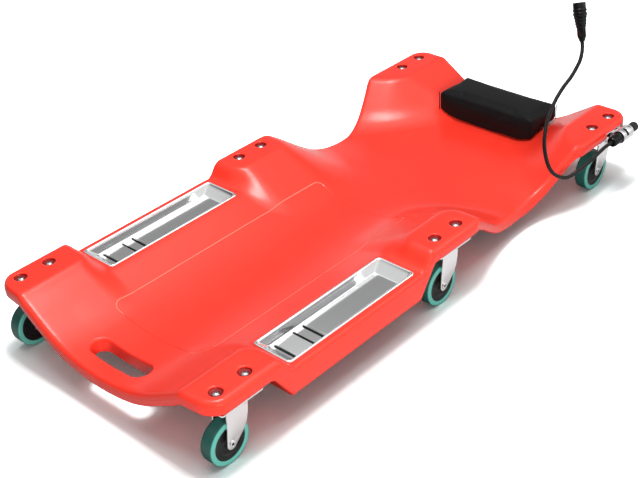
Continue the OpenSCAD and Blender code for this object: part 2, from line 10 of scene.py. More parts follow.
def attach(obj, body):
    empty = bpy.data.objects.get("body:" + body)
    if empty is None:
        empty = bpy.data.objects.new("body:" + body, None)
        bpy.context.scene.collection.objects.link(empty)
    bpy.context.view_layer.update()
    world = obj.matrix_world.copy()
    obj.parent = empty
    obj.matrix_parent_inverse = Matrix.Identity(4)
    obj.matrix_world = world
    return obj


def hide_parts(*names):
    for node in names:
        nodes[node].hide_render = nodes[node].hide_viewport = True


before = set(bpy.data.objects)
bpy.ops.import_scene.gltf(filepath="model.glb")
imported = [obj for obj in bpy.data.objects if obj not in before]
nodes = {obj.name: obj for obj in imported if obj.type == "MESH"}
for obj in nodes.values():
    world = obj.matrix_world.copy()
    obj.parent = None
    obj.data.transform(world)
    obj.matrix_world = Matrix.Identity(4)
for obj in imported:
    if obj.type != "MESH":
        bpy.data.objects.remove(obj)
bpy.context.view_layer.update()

# Camera: a long lens from above the lamp side and the foot end, rolled a little,
# as solved from the screws, trays and wheels of the photograph.
turn, tilt, roll = math.radians(44.42), math.radians(32.83), math.radians(-3.86)
back = Vector((math.sin(turn) * math.cos(tilt), -math.cos(turn) * math.cos(tilt),
               math.sin(tilt)))
level_right = (-back).cross(Vector((0, 0, 1))).normalized()
level_up = level_right.cross(-back)
right = math.cos(roll) * level_right + math.sin(roll) * level_up
up = math.cos(roll) * level_up - math.sin(roll) * level_right
camera_data = bpy.data.cameras.new("camera")
camera_data.lens = 68.345
camera_data.sensor_width = 36.0
camera_data.clip_end = 20
camera = bpy.data.objects.new("camera", camera_data)
bpy.context.scene.collection.objects.link(camera)
facing = Matrix((right, up, back)).transposed().to_4x4()
camera.matrix_world = Matrix.Translation((1.1497, -1.2191, 1.1102)) @ facing
bpy.context.scene.camera = camera
bpy.context.scene.view_settings.view_transform = "Standard"


# Floor: a wide pale sheet at z = 0 that keeps the soft shadow. Seen directly it is
# white, it throws little light back up, and it is tinted against the red glow under
# the board. The helpers here select pieces and wire up materials.
def pick(*pieces):
    bpy.ops.object.select_all(action="DESELECT")
    for piece in pieces:
        piece.select_set(True)
    if pieces:
        bpy.context.view_layer.objects.active = pieces[0]


def wire(tree, part, sockets):
    for socket, value in sockets.items():
        if isinstance(value, bpy.types.NodeSocket):
            tree.links.new(value, part.inputs[socket])
        else:
            part.inputs[socket].default_value = value


def add_node(tree, kind, output=None, sockets=None, **settings):
    part = tree.nodes.new("ShaderNode" + kind)
    for setting, value in settings.items():
        setattr(part, setting, value)
    wire(tree, part, sockets or {})
    return part.outputs[output] if output else part


def mix(tree, share, first, second):
    sockets = {"Factor": share, "A": first, "B": second}
    return add_node(tree, "Mix", "Result", sockets, data_type="RGBA")


def calculate(tree, operation, first, second=0.5):
    return add_node(tree, "Math", "Value", {0: first, 1: second}, operation=operation)


def plain_material(name, sockets):
    material = bpy.data.materials.new(name)
    material.use_nodes = True
    shader = material.node_tree.nodes["Principled BSDF"]
    wire(material.node_tree, shader, sockets)
    return material, material.node_tree, shader


def grey(level):
    return (level, level, level, 1)


pick()
bpy.ops.mesh.primitive_plane_add(size=14)
floor = bpy.context.object
floor.name = "workshop_floor"
floor_paint, tree, shader = plain_material("pale_floor",
                                           {"Roughness": 0.8, "Specular IOR Level": 0.1})
seen = add_node(tree, "LightPath")
place = add_node(tree, "TexCoord", "Object")
axes = add_node(tree, "SeparateXYZ", None, {"Vector": place})
UNDER_X, UNDER_Y, UNDER_FADE = 0.12, 0.4, 0.09
past_x = calculate(tree, "SUBTRACT", calculate(tree, "ABSOLUTE", axes.outputs["X"]), UNDER_X)
past_y = calculate(tree, "SUBTRACT", calculate(tree, "ABSOLUTE", axes.outputs["Y"]), UNDER_Y)
open_floor = add_node(tree, "MapRange", "Result",
                      {"Value": calculate(tree, "MAXIMUM", past_x, past_y),
                       "From Min": 0.0, "From Max": UNDER_FADE},
                      interpolation_type="SMOOTHSTEP")
shown = mix(tree, open_floor, (1.2, 1.9, 1.9, 1), (2.15, 2.25, 2.25, 1))
bounced = mix(tree, seen.outputs["Is Glossy Ray"], grey(0.3), grey(0.95))
# Painted light: seen directly, the floor also glows, faintly cyan near the board to lift its
# shadow, and up to full white far off.
from_middle = add_node(tree, "VectorMath", "Value", {0: place}, operation="LENGTH")
far_off = add_node(tree, "MapRange", "Result", {"Value": from_middle, "From Min": 0.85,
                                                "From Max": 1.6, "To Min": 0.06})
wire(tree, shader, {
    "Base Color": mix(tree, seen.outputs["Is Camera Ray"], bounced, shown),
    "Emission Color": (0.8, 1, 1, 1),
    "Emission Strength": calculate(tree, "MULTIPLY", far_off, seen.outputs["Is Camera Ray"])})
floor.data.materials.append(floor_paint)


# Sky: a studio's walls, dim for the shadow's sake. The polished metal and the
# plastic's gloss see white panels instead, with a grey band beyond the head left
# corner and a dark wall beyond the foot.
def height_ramp(tree, height, stops):
    ramp = tree.nodes.new("ShaderNodeValToRGB")
    ramp.color_ramp.interpolation = "EASE"
    elements = ramp.color_ramp.elements
    elements[0].position, elements[1].position = stops[0][0], stops[-1][0]
    elements[0].color, elements[1].color = grey(stops[0][1]), grey(stops[-1][1])
    for position, level in stops[1:-1]:
        elements.new(position).color = grey(level)
    tree.links.new(height, ramp.inputs["Fac"])
    return ramp.outputs["Color"]


def share_towards(tree, direction, side, low, high):
    cosine = add_node(tree, "VectorMath", "Value", {0: direction, 1: side},
                      operation="DOT_PRODUCT")
    return add_node(tree, "MapRange", "Result",
                    {"Value": cosine, "From Min": low, "From Max": high})


sky = bpy.data.worlds.new("studio_sky")
sky.use_nodes = True
tree = sky.node_tree
direction = add_node(tree, "TexCoord", "Generated")
height = add_node(tree, "SeparateXYZ", "Z", {"Vector": direction})
walls = height_ramp(tree, height, ((0.0, 0.08), (0.36, 0.1), (0.65, 0.14), (0.9, 0.2)))
bright_side = height_ramp(tree, height, ((0.0, 1.0), (0.25, 0.75), (0.42, 0.3), (0.595, 0.3),
                                         (0.66, 0.7), (1.0, 0.85)))
dark_side = height_ramp(tree, height, ((0.0, 0.02), (0.45, 0.02), (0.62, 0.7), (1.0, 0.85)))
near_foot = share_towards(tree, direction, (-0.1, -0.99, 0), 0.1, 0.45)
far_left = share_towards(tree, direction, (-0.7, 0.7, 0), 0.32, 0.6)
panels = mix(tree, near_foot, mix(tree, far_left, grey(0.95), bright_side), dark_side)
seen = add_node(tree, "LightPath")
mirrored_sky = mix(tree, seen.outputs["Is Glossy Ray"], walls, panels)
wire(tree, tree.nodes["Background"], {
    "Color": mix(tree, seen.outputs["Is Camera Ray"], mirrored_sky, grey(1)), "Strength": 1.0})
bpy.context.scene.world = sky


# Lamps: a small and a wide softbox overhead, a low one in front that lights the side
# walls but not the floor, and a narrow strip that only draws lines of gloss.
def softbox(name, place, aim, wide, high, watts, off_floor=False, gloss_only=False,
            no_gloss=False):
    data = bpy.data.lights.new(name, "AREA")
    data.shape = "RECTANGLE"
    data.size, data.size_y, data.energy = wide, high, watts
    lamp = bpy.data.objects.new(name, data)
    bpy.context.scene.collection.objects.link(lamp)
    lamp.location = place
    lamp.rotation_euler = (Vector(aim) - Vector(place)).to_track_quat("-Z", "Y").to_euler()
    lamp.visible_diffuse, lamp.visible_glossy = not gloss_only, not no_gloss
    if off_floor:
        kept_off = bpy.data.collections.new(name + "_kept_off")
        kept_off.objects.link(floor)
        lamp.light_linking.receiver_collection = kept_off
        for entry in kept_off.collection_objects:
            entry.light_linking.link_state = "EXCLUDE"


softbox("key_softbox", (0.0, 0.05, 2.4), (0, -0.1, 0), 0.6, 0.6, 30.5)
softbox("wide_softbox", (0.0, 0.2, 2.5), (0, 0, 0), 2.4, 2.4, 21)
softbox("front_fill", (1.9, -1.1, 0.8), (0.1, 0, 0.06), 1.4, 0.9, 60, off_floor=True,
        no_gloss=True)
softbox("edge_strip", (1.65, 1.8, 1.8), (0.1, 0, 0.09), 0.2, 1.8, 6, gloss_only=True)

# Board: one blow-moulded shell of red plastic. Its top is a dish between six raised
# pads, with a flat shelf under each tray; the sheet below follows it, and drops to
# a box under each tray. Millimetres here, as on the drawing.
BOARD_HALF, FOOT_Y, HEAD_Y, PAD_TOP, SHELF_TOP = 233.0, -505.5, 507.0, 119.5, 94.0
CORNER_R, EDGE_R = 30.0, 9.0
PAD_CORNER_R = CORNER_R * 0.8


def smooth(v):
    v = np.clip(v, 0, 1)
    return v * v * (3 - 2 * v)


def ease(v, e):
    return np.where(v < -e, 0, np.where(v < e, (v + e) ** 2 / (4 * e), v))


def soft_max(a, b, k):
    return np.maximum(a, b) + np.maximum(k - np.abs(a - b), 0) ** 2 / (4 * k)


# The outline draws in at the arms, and the foot end bows out a little.
ARM_START, ARM_MIDDLE, ARM_END, ARM_DEEP = 62, 229, 355, 33.4


def half_width(y):
    arm = np.where(y < ARM_MIDDLE, ease((y - ARM_START) / (ARM_MIDDLE - ARM_START), 0.06),
                   ease((ARM_END - y) / (ARM_END - ARM_MIDDLE), 0.06))
    return BOARD_HALF - ARM_DEEP * np.sin(np.pi / 2 * np.clip(arm, 0, 1))


def foot_bow(x, y):
    return 7 * (x / 175) ** 2 * (1 - smooth((y - FOOT_Y) / 70))


# A pad falls away past its inner edge e, with slope s and blend k towards the
# middle, the foot and the head, rounded where two of its sides meet.
def pad_fall(e, s, k):
    u = e[0] + PAD_CORNER_R
    v = np.maximum(e[1], e[2]) + PAD_CORNER_R
    foot_side = e[1] > e[2]
    pu, pv = np.maximum(u, 0), np.maximum(v, 0)
    w = np.where(pu + pv > 0, pu * pu / np.maximum(pu * pu + pv * pv, 1e-9), 1)
    round_gap = np.where((pu > 0) & (pv > 0), np.hypot(pu, pv), np.maximum(u, v))
    slope = s[0] * w + np.where(foot_side, s[1], s[2]) * (1 - w)
    blend = k[0] * w + np.where(foot_side, k[1], k[2]) * (1 - w)
    return slope * ease(round_gap - PAD_CORNER_R, 7 - 3 * w), blend


def top_height(x, y):
    x = np.abs(x)
    far = np.full_like(x, -999.0)
    middle = 56.4 + 6.3 * (1 - smooth((y + 130) / 360)) + 2.1 * smooth((-440 - y) / 70)
    dish = 0.00144 * (1 - smooth((y - 20) / 140)) - 0.0002 * np.exp(-((y - 225) / 62) ** 2)
    z = -soft_max(-(middle + dish * x * x), -SHELF_TOP, 5)
    cone = (346.4 + (224.7 - x) * 0.584 - y) * 0.864
    foot_pad = pad_fall((171 - x, far, y + 367), (0.68, 1, 1.6), (24, 8, 8))
    mid_pad = pad_fall((172 - x, -49 - y, y - 70), (0.57, 1.4, 0.76), (14, 9, 24))
    head_pad = pad_fall((171 - x, cone, far), (0.66, 0.88, 1), (26, 24, 8))
    for fall, blend in (foot_pad, mid_pad, head_pad):
        z = soft_max(z, PAD_TOP - fall, blend)
    return z


def under_height(x, y):
    gap = np.maximum(np.maximum(150 - np.abs(x), y + 78), -352 - y)
    return -soft_max(-(top_height(x, y) - 23), -(46 + 1.5 * np.maximum(gap, 0)), 9)


def round_drop(d, r):
    return np.where(d >= r, 0, r - np.sqrt(np.maximum(r * r - (r - d) ** 2, 0)))


# The two sheets share one grid of rows and columns, closer together at the rim,
# the pad ends and the arm cut-outs; the side wall and its parting ridge join them.
rim_offsets = [0, 0.25, 0.75, 1.5, 2.5, 3.7, 5.2, 7, 9]
end_offsets = rim_offsets + [12, 15, 19, 24, 30, 37]
FAR_FROM_END = 99.0


def steps(start, stop, step):
    count = max(1, round((stop - start) / step))
    return [start + (stop - start) * i / count for i in range(count)]


row_list = [(FOOT_Y + o, o) for o in end_offsets]
for start, stop, step in ((-463, -400, 4), (-400, -374, 3), (-374, -338, 1.8),
                          (-338, -92, 6), (-92, -38, 1.9), (-38, 52, 4.2), (52, 130, 2.6),
                          (130, 290, 4), (290, 400, 2.9), (400, 471, 4.4)):
    row_list += [(y, FAR_FROM_END) for y in steps(start, stop, step)]
row_list += [(HEAD_Y - o, o) for o in reversed(end_offsets)]
rows = np.array(row_list)
inner = np.array(steps(0, 1, 1 / 62) + [1.0])
half_count = len(inner) + len(rim_offsets) - 1


def column_place(index, y, end_gap):
    cut = np.where(end_gap < CORNER_R, CORNER_R - np.sqrt(
        np.maximum(CORNER_R ** 2 - (CORNER_R - end_gap) ** 2, 0)), 0)
    half = half_width(y) - cut
    side = np.sign(index)
    index = np.abs(index)
    offsets = np.array(rim_offsets[::-1])
    low = np.clip(index, 0, len(inner) - 1)
    in_rim = np.clip(index - len(inner) + 1, 0, len(offsets) - 1)
    return side * np.where(index < len(inner), inner[low] * (half - EDGE_R),
                           half - offsets[in_rim])


def spots_of(piece):
    spots = np.empty(len(piece.data.vertices) * 3)
    piece.data.vertices.foreach_get("co", spots)
    return spots.reshape(-1, 3)


def move_to(piece, spots_mm):
    piece.data.vertices.foreach_set("co", (spots_mm * 0.001).ravel())
    piece.data.update()


# A flat grid, extruded down once, with its walls cut into rings: it gives each
# vertex its column, its row and its depth down the wall from 0 to 1.
def skirted_grid(name, across, along, cuts):
    pick()
    bpy.ops.mesh.primitive_grid_add(x_subdivisions=across, y_subdivisions=along, size=2)
    piece = bpy.context.object
    piece.name = name
    bpy.ops.object.mode_set(mode="EDIT")
    bpy.ops.mesh.select_all(action="SELECT")
    bpy.ops.mesh.extrude_region_move(TRANSFORM_OT_translate={"value": (0, 0, -1)})
    bpy.ops.mesh.select_all(action="DESELECT")
    bpy.ops.object.mode_set(mode="OBJECT")
    level = [v.co.z for v in piece.data.vertices]
    for edge in piece.data.edges:
        edge.select = abs(level[edge.vertices[0]] - level[edge.vertices[1]]) > 0.5
    bpy.ops.object.mode_set(mode="EDIT")
    bpy.ops.mesh.subdivide(number_cuts=cuts)
    bpy.ops.object.mode_set(mode="OBJECT")
    spots = spots_of(piece)
    column = np.rint((spots[:, 0] + 1) / 2 * across).astype(int)
    row = np.rint((spots[:, 1] + 1) / 2 * along).astype(int)
    return piece, column, row, -spots[:, 2]


WALL_CUTS = 6
board, column, row, depth = skirted_grid("moulded_board", 2 * half_count - 2, len(rows) - 1,
                                         WALL_CUTS)
row_y, end_gap = rows[row, 0], rows[row, 1]
x = column_place(column - (half_count - 1), row_y, end_gap)
y = row_y + foot_bow(x, row_y)
side_gap = half_width(row_y) - np.abs(x)
in_corner = (side_gap < CORNER_R) & (end_gap < CORNER_R)
corner_gap = CORNER_R - np.hypot(CORNER_R - side_gap, CORNER_R - end_gap)
rim_gap = np.maximum(np.where(in_corner, corner_gap, np.minimum(side_gap, end_gap)), 0)
upper_r = EDGE_R - 4.5 * smooth((y + 372) / 20) * (1 - smooth((y + 80) / 24))
top = top_height(x, y) - round_drop(rim_gap, upper_r)
lower_r = 5 + 4 * smooth((y + 385) / 30) * (1 - smooth((y + 78) / 30))
low = under_height(x, y) + round_drop(rim_gap, lower_r)
# wall rings under the rim: two close above and below the raised parting line
ring = np.rint(depth * (WALL_CUTS + 1)).astype(int)
ring_drop = np.array([0, 1.3, 1.9, 2.5, 3.1, 4.0, 0, 0])
ring_out = np.array([0, 0, 0.35, 0.35, 0, 0, 0, 0])
z = np.where(ring == WALL_CUTS, (top - 4 + low) / 2, top - ring_drop[ring])
z = np.where(ring == WALL_CUTS + 1, low, z)
to_side = side_gap < end_gap
out_x = np.where(in_corner, CORNER_R - side_gap, np.where(to_side, 1.0, 0.0)) * np.sign(x)
out_y = np.where(in_corner, CORNER_R - end_gap, np.where(to_side, 0.0, 1.0)) * np.sign(y)
length = np.maximum(np.hypot(out_x, out_y), 1e-6)
x, y = x + ring_out[ring] * out_x / length, y + ring_out[ring] * out_y / length
move_to(board, np.stack((x, y, z), 1))


# The openings are cut with skins through equal loops of points: each skin is
# extruded loop after loop and filled at both ends.
def face_outwards():
    bpy.ops.object.mode_set(mode="EDIT")
    bpy.ops.mesh.select_all(action="SELECT")
    bpy.ops.mesh.normals_make_consistent(inside=False)
    bpy.ops.object.mode_set(mode="OBJECT")


def loop_skin(name, loops):
    spokes = len(loops[0])
    pick()
    bpy.ops.mesh.primitive_circle_add(vertices=spokes, radius=1, fill_type="NGON")
    piece = bpy.context.object
    piece.name = name
    bpy.ops.object.mode_set(mode="EDIT")
    bpy.ops.mesh.select_all(action="SELECT")
    for _ in loops[1:]:
        bpy.ops.mesh.extrude_region_move(TRANSFORM_OT_translate={"value": (0, 0, 1)})
    bpy.ops.object.mode_set(mode="OBJECT")
    for vertex in piece.data.vertices:
        spoke = round(math.atan2(vertex.co.y, vertex.co.x) / math.tau * spokes) % spokes
        vertex.co = Vector(loops[round(vertex.co.z)][spoke]) * 0.001
    face_outwards()
    return piece


def circle_loop(radius, z, x=0.0, y=0.0, spokes=48):
    angles = [math.tau * i / spokes for i in range(spokes)]
    return [(x + radius * math.cos(a), y + radius * math.sin(a), z) for a in angles]


def joined(pieces):
    pick(*pieces)
    bpy.ops.object.join()
    return bpy.context.object


# Hand slot: straight walls through both sheets, with a rounded lip that follows the
# dished surface. Its long sides bow out by a hair.
SLOT_LEN, SLOT_WIDE, SLOT_Y = 116.0, 33.0, -458.6
SLOT_ARC, SLOT_SIDE, SLOT_BOW, LIP_R = 16, 8, 0.3, 3.9
BELOW_BOARD = 28


def slot_loop(grow, rise, follow=True):
    points = []
    radius = SLOT_WIDE / 2 + grow
    for side in (1, -1):
        for i in range(SLOT_ARC + SLOT_SIDE):
            angle = math.pi * (min(i, SLOT_ARC) / SLOT_ARC - 0.5)
            run = 1 - max(i - SLOT_ARC, 0) / (SLOT_SIDE / 2)
            px = side * ((SLOT_LEN - SLOT_WIDE) / 2 * run + radius * math.cos(angle))
            py = SLOT_Y + side * (radius * math.sin(angle) + SLOT_BOW * (1 - run * run))
            points.append((px, py))
    heights = [0.0] * len(points)
    if follow:
        heights = top_height(np.array([px for px, _ in points]),
                             np.array([py for _, py in points]))
    return [(px, py, rise + above) for (px, py), above in zip(points, heights)]


lip = [(LIP_R * (1 - math.cos(t)), -LIP_R * (1 - math.sin(t)))
       for t in [math.pi / 2 * i / 7 for i in range(8)]]
slot_loops = [slot_loop(0, BELOW_BOARD, follow=False), slot_loop(0, -7)]
slot_loops += [slot_loop(grow, rise) for grow, rise in lip] + [slot_loop(4.6, 3)]
cutters = [loop_skin("slot_cutter", slot_loops)]

# Counterbores for the twelve screws, two to a pad, each with a softly rounded
# mouth: radius and height up its wall.
SCREW_X, SCREW_HALF = 208.7, 25.9
PAD_ROWS = {"foot": -440.7, "mid": 10.9, "head": 448.0}
SCREWS = [(side * SCREW_X, pad_y + half * SCREW_HALF)
          for pad_y in PAD_ROWS.values() for side in (-1, 1) for half in (-1, 1)]
mouth = [(3.1, 88), (3.1, 115.5), (9.0, 115.5), (9.8, 115.8), (10, 116.5), (10, 117.9),
         (10.15, 118.6), (10.6, 119.2), (11.3, 119.5), (12, 120.4)]
for px, py in SCREWS:
    cutters.append(loop_skin("bore_cutter", [circle_loop(radius, up_here, px, py)
                                             for radius, up_here in mouth]))


# Pockets that take the trays: square holes through the shelves with round corners,
# a little smaller than the trays' rims.
def round_box_loop(cx, cy, a, b, r, z_here, per_corner=8):
    points = []
    for c, (sx, sy) in enumerate(((1, 1), (-1, 1), (-1, -1), (1, -1))):
        for i in range(per_corner + 1):
            angle = math.pi / 2 * (c + i / per_corner)
            points.append((cx + sx * (a - r) + r * math.cos(angle),
                           cy + sy * (b - r) + r * math.sin(angle), z_here))
    return points


TRAY_X, TRAY_Y, TRAY_A, TRAY_B, TRAY_DEEP = 186.4, -211.7, 35.65, 134.3, 14.5
UNDER_RIM, POCKET_R = 2.8, 6
for side in (-1, 1):
    cutters.append(loop_skin("tray_pocket_cutter", [
        round_box_loop(side * TRAY_X, TRAY_Y, TRAY_A - UNDER_RIM, TRAY_B - UNDER_RIM,
                       POCKET_R, z_here) for z_here in (SHELF_TOP - 17, SHELF_TOP + 12)]))

# Thin line pressed round the middle of the board: a shallow rounded channel, cut by
# a closed ring that follows the line from the right side round by the head.
quarter = [math.pi / 2 * i / 8 for i in range(8)]
side_run = [i / 40 for i in range(40)]
end_run = [1 - 2 * i / 24 for i in range(24)]
line = [(96.5 - t, -378 + 425 * t) for t in side_run]
line += [(84.5 + 11 * math.cos(t), 47 + 11 * math.sin(t)) for t in quarter]
line += [(84.5 * u, 58 - 10 * (1 - u * u) ** 1.4) for u in [1 - 2 * t for t in side_run]]
line += [(-84.5 - 11 * math.sin(t), 47 + 11 * math.cos(t)) for t in quarter]
line += [(-95.5 - t, 47 - 425 * t) for t in side_run]
line += [(-81.5 - 15 * math.cos(t), -378 - 15 * math.sin(t)) for t in quarter]
line += [(-81.5 * u, -393 - (1 - u * u)) for u in end_run]
line += [(81.5 + 15 * math.sin(t), -378 - 15 * math.cos(t)) for t in quarter]
line = np.array(line)
ahead = np.roll(line, -1, 0) - np.roll(line, 1, 0)
across = np.stack((-ahead[:, 1], ahead[:, 0]), 1) / np.linalg.norm(ahead, axis=1)[:, None]
channel = ((1.15, 0.6), (0.75, -0.35), (0.0, -0.75), (-0.75, -0.35), (-1.15, 0.6),
           (0.0, 1.6))
pick()
bpy.ops.mesh.primitive_torus_add(major_segments=len(line), minor_segments=len(channel),
                                 major_radius=1, minor_radius=0.25)
groove = bpy.context.object
groove.name = "line_cutter"
for vertex in groove.data.vertices:
    around = math.atan2(vertex.co.y, vertex.co.x) / math.tau
    within = math.atan2(vertex.co.z, vertex.co.xy.length - 1) / math.tau
    major = round(around * len(line)) % len(line)
    shift, rise = channel[round(within * len(channel)) % len(channel)]
    px, py = line[major] + shift * across[major]
    surface = float(top_height(np.array([px]), np.array([py]))[0])
    vertex.co = Vector((px, py, surface + rise)) * 0.001
face_outwards()
cutters.append(groove)

cutter = joined(cutters)
pick(board)
cut = board.modifiers.new("openings", "BOOLEAN")
cut.operation, cut.object, cut.solver = "DIFFERENCE", cutter, "MANIFOLD"
bpy.ops.object.modifier_apply(modifier="openings")
bpy.data.objects.remove(cutter)
bpy.ops.object.shade_smooth_by_angle(angle=math.radians(38))


# Red polyethylene: a slightly uneven satin skin with a fine moulded grain. A painted
# highlight makes it paler in the pressed line, and painted shade darker in the counterbores.
def noise(tree, scale, detail=2.0, place=None):
    if place is None:
        place = add_node(tree, "TexCoord", "Object")
    return add_node(tree, "TexNoise", "Fac",
                    {"Vector": place, "Scale": scale, "Detail": detail})


def spread(tree, value, low, high):
    return add_node(tree, "MapRange", "Result",
                    {"Value": value, "To Min": low, "To Max": high})


def relief(tree, height, strength, distance):
    return add_node(tree, "Bump", "Normal",
                    {"Height": height, "Strength": strength, "Distance": distance})


def marked(tree, name):
    return add_node(tree, "Attribute", "Fac", attribute_name=name)


def mark(piece, name, values):
    piece.data.attributes.new(name, "FLOAT", "POINT").data.foreach_set("value", values)


def paint(piece, material):
    piece.data.materials.clear()
    piece.data.materials.append(material)


plastic, tree, shader = plain_material("red_polyethylene", {"Specular IOR Level": 0.36})
cloud = noise(tree, 9.0)
red = mix(tree, cloud, (0.9, 0.036, 0.02, 1), (0.96, 0.046, 0.026, 1))
# Painted highlight: a paler red in the bottom of the pressed line.
with_line_highlight = mix(tree, marked(tree, "pressed"), red, (0.98, 0.2, 0.14, 1))
# Painted shade: the base colour turns dark red down in the counterbores.
wire(tree, shader, {
    "Base Color": mix(tree, marked(tree, "bore_shade"), with_line_highlight, (0.24, 0.005, 0.004, 1)),
    "Roughness": spread(tree, cloud, 0.21, 0.29),
    "Normal": relief(tree, noise(tree, 700.0, 3.0), 0.25, 0.0004)})

spots = spots_of(board) * 1000
# Painted shade: each counterbore's wall and floor get darker with depth below the pad top.
bore_shade = np.zeros(len(spots))
for px, py in SCREWS:
    reach = np.hypot(spots[:, 0] - px, spots[:, 1] - py)
    in_bore = (reach < 10.4) & (spots[:, 2] > 110)
    bore_shade = np.maximum(bore_shade, np.where(in_bore, smooth((119 - spots[:, 2]) / 2.2), 0))
mark(board, "bore_shade", bore_shade)
# Painted highlight: vertices sunk in the pressed line's channel are marked to be painted paler.
pressed = np.zeros(len(spots))
near_line = np.flatnonzero((np.abs(spots[:, 0]) < 100) & (spots[:, 1] > -400)
                           & (spots[:, 1] < 62) & (spots[:, 2] > 70))
gap = np.array([np.hypot(*(line - spots[i, :2]).T).min() for i in near_line])
sunk = spots[near_line, 2] < top_height(spots[near_line, 0], spots[near_line, 1]) - 0.3
pressed[near_line] = np.where((gap < 9) & sunk, 1.0, 0.0)
mark(board, "pressed", pressed)
paint(board, plastic)
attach(board, "board")
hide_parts("deck")

# Trays: pressed stainless sheet with a rolled rim, raking ends, three cross beads
# and two raised floor panels, dropped loose into the pockets.
steel, tree, shader = plain_material("pressed_stainless", {"Metallic": 1.0})
stretched = add_node(tree, "Mapping", "Vector", {
    "Vector": add_node(tree, "TexCoord", "Object"), "Scale": (700, 14, 700)})
# Painted shade and dark reflection: marked vertices of the steel turn near black.
wire(tree, shader, {
    "Base Color": mix(tree, marked(tree, "painted_shade"), (0.87, 0.875, 0.88, 1),
                      (0.03, 0.03, 0.032, 1)),
    "Roughness": spread(tree, noise(tree, 1.0, place=stretched), 0.12, 0.155)})


def bevelled_bar(name, place_mm, size_mm, bevel_mm, lean=0.0):
    pick()
    bpy.ops.mesh.primitive_cube_add(size=1, location=Vector(place_mm) * 0.001,
                                    scale=Vector(size_mm) * 0.001,
                                    rotation=(math.radians(lean), 0, 0))
    bar = bpy.context.object
    bar.name = name
    bpy.ops.object.transform_apply(location=True, rotation=True, scale=True)
    bpy.ops.object.mode_set(mode="EDIT")
    bpy.ops.mesh.select_all(action="SELECT")
    bpy.ops.mesh.bevel(offset=bevel_mm * 0.001, segments=3, affect="EDGES")
    bpy.ops.mesh.select_all(action="DESELECT")
    bpy.ops.object.mode_set(mode="OBJECT")
    widest = max(face.area for face in bar.data.polygons)
    for face in bar.data.polygons:
        face.select = face.area > 0.6 * widest
    bpy.ops.object.mode_set(mode="EDIT")
    bpy.ops.mesh.inset(thickness=0.3 * bevel_mm * 0.001, use_individual=True)
    bpy.ops.object.mode_set(mode="OBJECT")
    return bar


# The sheet's loops, from the middle of its floor up over the rim and down outside:
# in from the side, in from the end, corner radius, and height over the shelf.
def tray_section():
    f = -TRAY_DEEP
    inside = [(12, 24.5, 3, f), (10.4, 22.9, 3.2, f), (9.6, 21.9, 3.6, f + 0.06),
              (8.9, 21.0, 4, f + 0.3), (8.35, 20.2, 4.2, f + 0.75)]
    inside += [(8.0 - 3.4 * t, 19.4 - 14.4 * t, 4.3 + 0.4 * t, f + 1.3 + 12.9 * t)
               for t in (0.0, 0.25, 0.5, 0.75, 1.0)]
    roll_top = [(4.2, 4.3, 4.9, 0.7), (3.7, 3.7, 5.1, 1.3), (3.0, 3.0, 5.4, 1.75),
                (2.1, 2.1, 5.8, 1.9), (1.2, 1.2, 6.2, 1.75), (0.5, 0.5, 6.5, 1.35),
                (0.1, 0.1, 6.7, 0.8), (0.1, 0.1, 6.7, 0.06)]
    outside = [(3.0, 3.1, 5.4, 0.06), (3.5, 4.3, 5, -0.9), (7.2, 18.9, 4.6, f - 0.3),
               (8.6, 21.2, 3.8, f - 1), (10, 22.6, 3.6, f - 1)]
    return inside + roll_top + outside


FLOOR_Z, FLOOR_WIDE = SHELF_TOP - TRAY_DEEP, 44
for side, node_name in ((-1, "tray_left"), (1, "tray_right")):
    cx = side * TRAY_X
    tray = loop_skin("pressed_" + node_name, [
        round_box_loop(cx, TRAY_Y, TRAY_A - p, TRAY_B - q, r, SHELF_TOP + h)
        for p, q, r, h in tray_section()])
    tray.data.attributes.new("painted_shade", "FLOAT", "POINT")
    parts = [bevelled_bar("panel", (cx, TRAY_Y - 87.3, FLOOR_Z + 0.3),
                          (FLOOR_WIDE, 32, 2.2), 0.5, lean=1.8),
             bevelled_bar("panel", (cx, TRAY_Y + 34.1, FLOOR_Z + 0.2),
                          (FLOOR_WIDE, 157, 2.4), 0.5)]
    for bead_y, bead_wide in ((-106.2, 2.4), (-68.3, 2.8), (-48.3, 2.8)):
        parts.append(bevelled_bar("bead", (cx, TRAY_Y + bead_y, FLOOR_Z + 0.2),
                                  (FLOOR_WIDE, bead_wide, 3.0), 0.7))
    # Painted shade and dark reflection: the beads are painted near black, the panels' lower edges
    # dark grey.
    for part in parts:
        bead = part.name.startswith("bead")
        mark(part, "painted_shade", [1.0 if bead else 0.6 * (v.co.z * 1000 < FLOOR_Z + 0.8)
                            for v in part.data.vertices])
    tray = joined([tray] + parts)
    bpy.ops.object.shade_smooth_by_angle(angle=math.radians(35))
    paint(tray, steel)
    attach(tray, "board")
    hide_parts(node_name)


# Headrest: foam in black grained vinyl, sewn along its four upright corners, on a
# plywood base that two long screws hold from under the board.
def cloudy_paint(name, colour, other, rough, cloud, grain, bump, deep, metal=0.0,
                 specular=0.5):
    material, tree, shader = plain_material(
        name, {"Metallic": metal, "Specular IOR Level": specular})
    patches = noise(tree, cloud, 4.0)
    wire(tree, shader, {"Base Color": mix(tree, patches, (*colour, 1), (*other, 1)),
                        "Roughness": spread(tree, patches, *rough),
                        "Normal": relief(tree, noise(tree, grain), bump, deep)})
    return material


def dress(piece, material, body, node_name):
    paint(piece, material)
    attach(piece, body)
    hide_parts(node_name)


REST_WIDE, REST_LONG, REST_TOP, REST_Y, REST_DRAW = 205.0, 86.4, 108.8, 440.5, 1.2
REST_CORNER_R = 4.5
across_steps = np.array([0, 0.008, 0.02, 0.04] + [0.07 + 0.86 * i / 26 for i in range(27)]
                        + [0.96, 0.98, 0.992, 1])
along_steps = np.array([0, 0.016, 0.045, 0.09] + [0.16 + 0.68 * i / 12 for i in range(13)]
                       + [0.91, 0.955, 0.984, 1])


